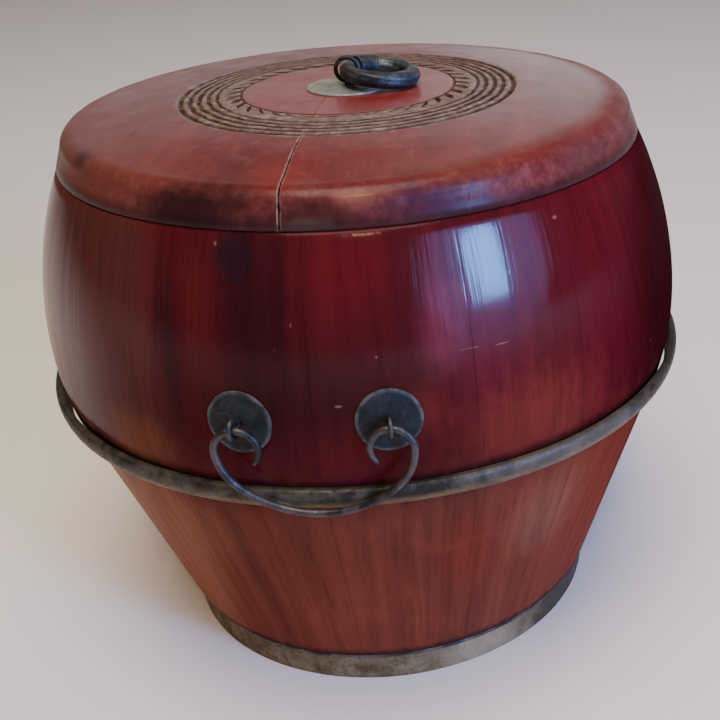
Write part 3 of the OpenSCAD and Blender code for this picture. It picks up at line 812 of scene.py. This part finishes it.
def lid_solid():
    """The whole lid as one closed mesh in which its cuts and bare wood are marked."""
    verts, cuts, inner = [(0, 0, LID_Z + LID_H)], [0], [0]
    rings, steps = lid_rings(), turned(LID_TURN)
    for ring_r, z in rings:
        for a, c, s in steps:
            r, h, cut = ring_r, z, 0
            if z is None:
                depth, cut = carve(r, a)
                uneven = 0.12 * wob(r * c / 34, r * s / 34, 0.5) * min(1, r / 30)
                h = min(crown_at(r) - droop(r, a) - depth + uneven, LID_H)
            elif z > 1.5:
                if z > EDGE_H - 0.1:
                    h -= droop(CROWN_R, a)
                dent = 0.22 * wob(9 * c, 9 * s, z / 7)
                r, h = min(r + min(0, dent) * 0.8, MOUTH_R), h + 0.5 * dent
            verts.append((r * c, r * s, LID_Z + h))
            cuts.append(cut)
            inner.append(1 if z is not None and z <= 0 else 0)
    verts.append((0, 0, LID_Z - LIP_DEPTH))
    cuts.append(0)
    inner.append(1)
    faces = [(0, 1 + j, 1 + (j + 1) % LID_TURN) for j in range(LID_TURN)]
    faces += grid_faces(len(rings), LID_TURN, wrap_cols=True, start=1)
    last, base = len(verts) - 1, 1 + (len(rings) - 1) * LID_TURN
    faces += [(last, base + (j + 1) % LID_TURN, base + j) for j in range(LID_TURN)]
    return new_mesh("lid_whole", verts, faces, {"cut": cuts, "inside": inner})


def saw(work, x, side):
    """Cuts a bmesh at x, keeps what lies towards side, 1 or -1, and closes the cut."""
    geometry = work.verts[:] + work.edges[:] + work.faces[:]
    cut = bmesh.ops.bisect_plane(work, geom=geometry, plane_co=(x * MM, 0, 0), plane_no=(side, 0, 0),
                                 clear_inner=True, clear_outer=False)
    rim = [e for e in cut["geom_cut"] if isinstance(e, bmesh.types.BMEdge)]
    bmesh.ops.triangle_fill(work, edges=rim, use_beauty=False)


def part_joints(work, i):
    """Draws board i back from its joints, and sinks the lips of the open joint a little."""
    for v in work.verts:
        x, y, z = (c / MM for c in v.co)
        for k, joint in enumerate(LID_JOINTS):
            if abs(x - joint) < 0.02:
                side = 1 if i > k else -1
                v.co.x += side * (crack_half(y) if joint == OPEN_JOINT else CLOSED_HALF) * MM
                if z > LID_Z + 1 and joint == OPEN_JOINT:
                    v.co.z -= 0.1 * MM


def build_lid():
    """Saws the lid into its boards."""
    whole = lid_solid()
    for i, place in enumerate(("left", "mid_left", "mid_right", "right")):
        name = "lid_board_" + place
        work = bmesh.new()
        work.from_mesh(whole)
        if i > 0:
            saw(work, LID_JOINTS[i - 1], 1)
        if i < len(LID_JOINTS):
            saw(work, LID_JOINTS[i], -1)
        part_joints(work, i)
        finish_piece(bpy.data.meshes.new("top_" + name), work, LID_LACQUER, "lid", [name], 50)
    bpy.data.meshes.remove(whole)


build_lid()


# ---- Hoops and foot ----

HOOP_INNER, HOOP_STEPS = 6, 22


def hoop_loop():
    """The hoop's section as (r, z): points down the inside, then steps up the round outside."""
    loop = [(outer_at(z) + FIT, z) for z in np.linspace(HOOP_Z + HOOP_H, HOOP_Z, HOOP_INNER)]
    for k in range(HOOP_STEPS + 1):
        t = radians(180 * k / HOOP_STEPS - 90)
        z = HOOP_Z + HOOP_H / 2 + HOOP_H / 2 * sin(t)
        loop.append((outer_at(z) + FIT + HOOP_EDGE + (HOOP_T - HOOP_EDGE) * cos(t), z))
    return loop


def build_hoop():
    """The hammered middle hoop, loose by its slack towards both sides."""
    loop = hoop_loop()
    corners = (HOOP_INNER, HOOP_INNER + 1, len(loop) - 2, len(loop) - 1)
    turn = 420
    verts, edge = [], []
    for _, c, s in turned(turn):
        shift = HOOP_SLACK * clamped(c * 14, -1, 1)
        for k, (r, z) in enumerate(loop):
            if HOOP_INNER < k < len(loop) - 1:
                r += min(0, 0.1 * wob(26 * c, 26 * s, z / 3) + 0.06 * wob(70 * c, 70 * s, z / 2))
            verts.append((r * c + shift, r * s, z + 0.12 * wob(4 * c, 4 * s, 7)))
            edge.append(0.5 if k in corners else 0)
    add_piece("band_middle", verts, grid_faces(turn, len(loop), True, True), HOOP_BRASS, "tub",
              "middle_hoop", 50, {"edge": edge})


def build_foot():
    """The dented foot band with rounded edges, and the slightly uneven wire on it."""
    outer = FOOT_R + BAND_T
    profile = [(FOOT_R + FIT, 0), (outer - 0.5, 0), (outer - 0.15, 0.12), (outer, 0.5)]
    profile += [(outer - 0.1 * sin(pi * k / 8), 0.5 + (BAND_H - 1) * k / 8) for k in range(1, 8)]
    profile += [(outer, BAND_H - 0.5), (outer - 0.15, BAND_H - 0.12), (outer - 0.5, BAND_H),
                (FOOT_R + FIT, BAND_H)]
    turn = 360
    verts, edge, path = [], [], []
    for _, c, s in turned(turn):
        for r, z in profile:
            if r > FOOT_R + 0.5:
                r += min(0, 0.22 * wob(7 * c, 7 * s, z / 9)) + 0.03 * wob(40 * c, 40 * s, z / 3)
            verts.append((r * c, r * s, z))
            edge.append(1 if r > FOOT_R + 1 and (z < 0.4 or z > BAND_H - 0.4) else 0)
        wire_r = FOOT_R + FOOT_WIRE_R + FIT + 0.1 + 0.1 * wob(6 * c, 6 * s, 2)
        path.append((wire_r * c, wire_r * s, BAND_H + FOOT_WIRE_R + FIT / 2))
    add_piece("band_foot", verts, grid_faces(turn, len(profile), True, True), FOOT_BRASS, "tub",
              "foot_band", 50, {"edge": edge})
    add_wire("wire_foot", tube(path, FOOT_WIRE_R - 0.02, 14, closed=True), WORN_WIRE, "tub", "foot_wire")


build_hoop()
build_foot()


# ---- Handles ----

# The pins' and bails' places follow from the body's outline, as in the part's source.
PIN_SURFACE = outer_at(PIN_Z)
PIN_LEAN = atan((outer_at(PIN_Z - PLATE_R) - outer_at(PIN_Z + PLATE_R)) / (2 * PLATE_R))
RIM_BACK = 0.7 * PLATE_R ** 2 / (2 * max(BELLY_R, UPPER_R))
LEG_BRIDGE = PIN_LEG ** 2 / (2 * TURN_R)
HOOP_FRONT = outer_at(HOOP_Z + HOOP_H / 2) + FIT + HOOP_T
EYE_OUT = max((HOOP_FRONT + BAIL_R + SWING_GAP) / cos(radians(PIN_ANGLE)) - PIN_SURFACE,
              PLATE_T + PIN_WIRE_R + PIN_EYE_R)
PIN_EYE_H = EYE_OUT / cos(PIN_LEAN)
PIVOT_Y = (PIN_SURFACE + EYE_OUT) * cos(radians(PIN_ANGLE))
PIVOT_X = (PIN_SURFACE + EYE_OUT) * sin(radians(PIN_ANGLE))
PIVOT_Z = PIN_Z + EYE_OUT * tan(PIN_LEAN) - (PIN_EYE_R - PIN_WIRE_R - BAIL_R - SWING_GAP)
# Radius of the hole in each plate.
PLATE_BORE = 1.57


def on_body(azimuth):
    """Puts local +Z square to the body, with local +X downwards."""
    return (Matrix.Rotation(radians(azimuth), 4, "Z") @ Matrix.Translation((PIN_SURFACE, 0, PIN_Z))
            @ Matrix.Rotation(radians(90) - PIN_LEAN, 4, "Y"))


def plate(radius, thick, rim_back, seed, rings=9, turn=96):
    """A dished washer with a worn, slightly uneven rim."""
    rim_t = 0.6 * thick
    profile = [(PLATE_BORE, FIT), (radius / 2, FIT - rim_back / 4), (radius, FIT - rim_back),
               (radius, rim_t / 2 - rim_back), (radius - 0.2, rim_t * 0.85 - rim_back),
               (radius - 0.6, rim_t - rim_back)]
    for k in range(1, rings):
        s = 1 - k / rings
        r = PLATE_BORE + (radius - 0.6 - PLATE_BORE) * s
        profile.append((r, rim_t - rim_back + (thick - rim_t + rim_back) * (1 - s) ** 0.9))
    profile.append((PLATE_BORE, thick))
    verts, edge = [], []
    for _, c, s in turned(turn):
        for k, (r, z) in enumerate(profile):
            if k >= 3 and r < radius:
                z += 0.1 * wob(c * r / 4, s * r / 4, seed) * min(1, (r - PLATE_BORE) / 3)
            edge.append(max(0, 1 - abs(r - radius + 0.4) / 0.8) if k >= 2 else 0)
            if r > radius - 1:
                r += min(0, 0.35 * wob(2.5 * c, 2.5 * s, seed + 5))
            verts.append((r * c, r * s, z))
    return verts, grid_faces(turn, len(profile), True, True), edge


def split_pin(eye_r, eye_h, grip, leg, pinch):
    """One wire: up the shank, round the eye and back down, with both legs bent over inside."""
    w = PIN_WIRE_R
    eye = arc((0, eye_h), eye_r, -90 + pinch, 270 - pinch, 40)
    neck = eye_h - eye_r - 0.6
    bent = -grip - w - FIT
    path = [(leg, 0, bent), (leg * 0.5, 0, bent), (2.4, 0, bent), (1.3, 0, -grip - w + 0.5),
            (0.8, 0, -grip + 1.8), (0.72, 0, neck - 0.4)]
    path += eye + mirrored(path)
    return tube(path, rounded_tips(w, 2 * (grip + leg) + 6 * eye_r), 12)


def build_pins():
    """The four plates and the four split pins."""
    plates, pins, edge = [], [], []
    for n, azimuth in enumerate(AZIMUTHS):
        at = on_body(azimuth)
        verts, faces, rim = plate(PLATE_R, PLATE_T, RIM_BACK, n * 3.1)
        plates.append((moved(verts, at), faces))
        edge += rim
        verts, faces = split_pin(PIN_EYE_R, PIN_EYE_H, WALL + LEG_BRIDGE, PIN_LEG, 16)
        pins.append((moved(verts, at), faces))
    verts, faces = join(plates)
    add_piece("washers", verts, faces, PLATE_BRASS, "tub", "handle_plates", 40, {"edge": edge})
    add_wire("eyes", join(pins), PIN_IRON, "tub", "handle_pins")


def bail_path():
    """The bail's middle line as it hangs, with the tops of its two hooks on the X axis."""
    corner_x = PIVOT_X + HOOK_R - CORNER_R
    grip_r = (corner_x ** 2 + BAIL_DROP ** 2 - CORNER_R ** 2) / (2 * (BAIL_DROP - CORNER_R))
    grip_up = grip_r - BAIL_DROP
    turn = degrees(atan2(grip_up, corner_x))
    side = arc((PIVOT_X, -HOOK_R), HOOK_R, 180 + HOOK_CURL, 0, 46)
    side += arc((corner_x, -HOOK_R), CORNER_R, 0, -turn, 20)[1:]
    side += arc((0, grip_up - HOOK_R), grip_r, -turn, -90, 24)[1:]
    return side + mirrored(side[:-1])


def bail_radius(length, seed):
    """The bail's radius along its length, slightly uneven and thinner towards the hooks' tips."""
    def radius(s, a):
        d = min(s, 1 - s) * length
        tip = 0.62 + 0.38 * min(1, d / 14)
        end = sqrt(max(0.08, 1 - max(0, 1 - d) ** 2))
        return BAIL_R * tip * end * (1 + min(0, 0.07 * wob(s * 60, cos(a), seed)))
    return radius


def build_bails():
    """The bails at the front and at the back."""
    path = bail_path()
    length = float(np.linalg.norm(np.diff(np.array(path), axis=0), axis=1).sum())
    for side, azimuth, seed in (("front", 0, 1), ("back", 180, 6)):
        at = Matrix.Rotation(radians(azimuth), 4, "Z") @ Matrix.Translation((0, -PIVOT_Y, PIVOT_Z))
        wire = tube(moved(path, at), bail_radius(length, seed), 16)
        add_wire("grip_" + side, wire, WIRE_IRON, side + "_handle", "bail_" + side)


build_pins()
build_bails()


# ---- Ring pull ----

LID_EYE_H = LID_PLATE_T + PIN_WIRE_R + LID_EYE_R
SEAT = LID_EYE_R - PIN_WIRE_R - RING_TUBE - SWING_GAP
SEAT_AT = (SEAT * cos(radians(-45)), LID_EYE_H + SEAT * sin(radians(-45)))
TILT = asin((SEAT_AT[1] - RING_TUBE - SWING_GAP) / (2 * RING_R))
# Lobes of the ring's section, turns of the binding, and the part of the ring it covers, in degrees.
STRANDS, BIND_TURNS, BIND_FROM, BIND_TO = 7, 11, 100, 148


def ring_point(t, a, r):
    """A point at angle t round the ring and angle a round its section, at r from the section's middle."""
    reach = RING_R + r * cos(a)
    return (reach * cos(t), reach * sin(t), r * sin(a))


def build_pull():
    """The lid's plate and split pin, the ring with its twisted lobes, and the wire bound round it."""
    on_lid = Matrix.Translation((0, 0, LID_TOP))
    verts, faces, rim = plate(LID_PLATE_R, LID_PLATE_T, 0, 21, 12, 120)
    add_piece("washer_lid", moved(verts, on_lid), faces, LID_PLATE_BRASS, "lid", "lid_plate",
              40, {"edge": rim})
    verts, faces = split_pin(LID_EYE_R, LID_EYE_H, LID_H + LIP_DEPTH, LID_LEG, 12)
    add_wire("eye_lid", (moved(verts, on_lid), faces), PIN_IRON, "lid", "lid_pin")

    on_ring = (Matrix.Translation((SEAT_AT[0], 0, LID_TOP + SEAT_AT[1])) @ Matrix.Rotation(TILT, 4, "Y")
               @ Matrix.Translation((RING_R, 0, 0)))
    turn, sides = 200, 56
    verts, edge = [], []
    for t, c, s in turned(turn):
        for a, _, _ in turned(sides):
            lobe = cos(STRANDS * a + 3 * t)
            uneven = 0.08 * abs(wob(5 * c, 5 * s, a))
            verts.append(ring_point(t, a, RING_TUBE - 0.24 * (0.5 - 0.5 * lobe) ** 1.5 - uneven))
            edge.append(0.35 if lobe > 0.8 else 0)
    add_piece("pull", moved(verts, on_ring), grid_faces(turn, sides, True, True), RING_IRON, "ring",
              "ring_pull", 60, {"edge": edge})

    path = []
    steps = BIND_TURNS * 22
    for k in range(steps + 1):
        s = k / steps
        path.append(ring_point(radians(BIND_FROM + (BIND_TO - BIND_FROM) * s),
                               2 * pi * BIND_TURNS * s, RING_TUBE + BIND_R + 0.02))
    verts, faces = tube(path, BIND_R, 8)
    add_piece("wrapping", moved(verts, on_ring), faces, RING_IRON, "ring", "ring_binding", 60,
              {"edge": [0.3] * len(verts)})


build_pull()

# ---- Inner pieces that keep their CAD shape ----

for name in ("bottom_board_left", "bottom_board_middle", "bottom_board_right", "bottom_dowels",
             "stave_dowels", "lid_dowels"):
    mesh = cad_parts[name].data
    for i in range(len(mesh.materials)):
        mesh.materials[i] = BARE_WOOD if "board" in name else BAMBOO

# ---- Floor, light and camera ----

scene = bpy.context.scene

floor_mesh = bpy.data.meshes.new("floor")
floor_mesh.from_pydata([(-6, -6, 0), (6, -6, 0), (6, 6, 0), (-6, 6, 0)], [], [(0, 1, 2, 3)])
floor = bpy.data.objects.new("floor", floor_mesh)
scene.collection.objects.link(floor)
floor_mesh.materials.append(Material("floor", Base_Color=rgb(236, 227, 214), Roughness=0.8).data)

# The studio is dark apart from a pale wall in one direction.
PALE_WALL = (0.2, 0.98, 0)
DARK, PALE = 0.06, 0.82
world = bpy.data.worlds.new("studio")
world.use_nodes = True
sky = world.node_tree
toward_wall = sky.nodes.new("ShaderNodeVectorMath")
toward_wall.operation = "DOT_PRODUCT"
sky.links.new(sky.nodes.new("ShaderNodeTexCoord").outputs["Generated"], toward_wall.inputs[0])
toward_wall.inputs[1].default_value = PALE_WALL
shade = sky.nodes.new("ShaderNodeMapRange")
shade.interpolation_type = "SMOOTHSTEP"
sky.links.new(toward_wall.outputs["Value"], shade.inputs[0])
for i, value in enumerate((0.3, 1, DARK, PALE)):
    shade.inputs[i + 1].default_value = value
sky.nodes["Background"].inputs[0].default_value = (0.92, 0.9, 0.92, 1)
sky.links.new(shade.outputs[0], sky.nodes["Background"].inputs[1])
scene.world = world


def area(name, stand, target, width, height, watts, colour, shape="RECTANGLE"):
    """An area light at one point that looks at another."""
    light = bpy.data.lights.new(name, "AREA")
    light.shape, light.size, light.size_y = shape, width, height
    light.energy, light.color = watts, colour
    lamp = bpy.data.objects.new(name, light)
    lamp.location = stand
    lamp.rotation_mode = "QUATERNION"
    lamp.rotation_quaternion = (Vector(target) - Vector(stand)).to_track_quat("-Z", "Y")
    scene.collection.objects.link(lamp)


area("window", (2.05, -1.62, 0.9), (0.06, -0.12, 0.2), 0.48, 0.95, 90, (0.135, 0.4, 1))
area("window_glow", (2.15, -1.7, 0.85), (0.06, -0.12, 0.2), 2.4, 2.2, 62, (0.3, 0.34, 1), "ELLIPSE")
area("overhead", (0.05, -0.6, 2.3), (0, 0, 0.1), 1.5, 1.5, 62, (1, 0.9, 0.78))
area("lamp", (0.35, -2.25, 2.75), (0, -0.1, 0.2), 0.35, 0.35, 26, (1, 0.6, 0.32))

# Where the camera stands, and its directions to the right, up and back.
CAMERA_AT = (0.08714, -0.50252, 0.37154)
CAMERA_AXES = ((0.99896, 0.02916, -0.03506), (0.01796, 0.45522, 0.8902), (0.04192, -0.8899, 0.45422))
camera = bpy.data.cameras.new("camera")
camera.lens, camera.sensor_width = 55.64, 36
camera.shift_x = -0.1944
eye = bpy.data.objects.new("camera", camera)
eye.matrix_world = Matrix.Translation(CAMERA_AT) @ Matrix(CAMERA_AXES).transposed().to_4x4()
scene.collection.objects.link(eye)
scene.camera = eye
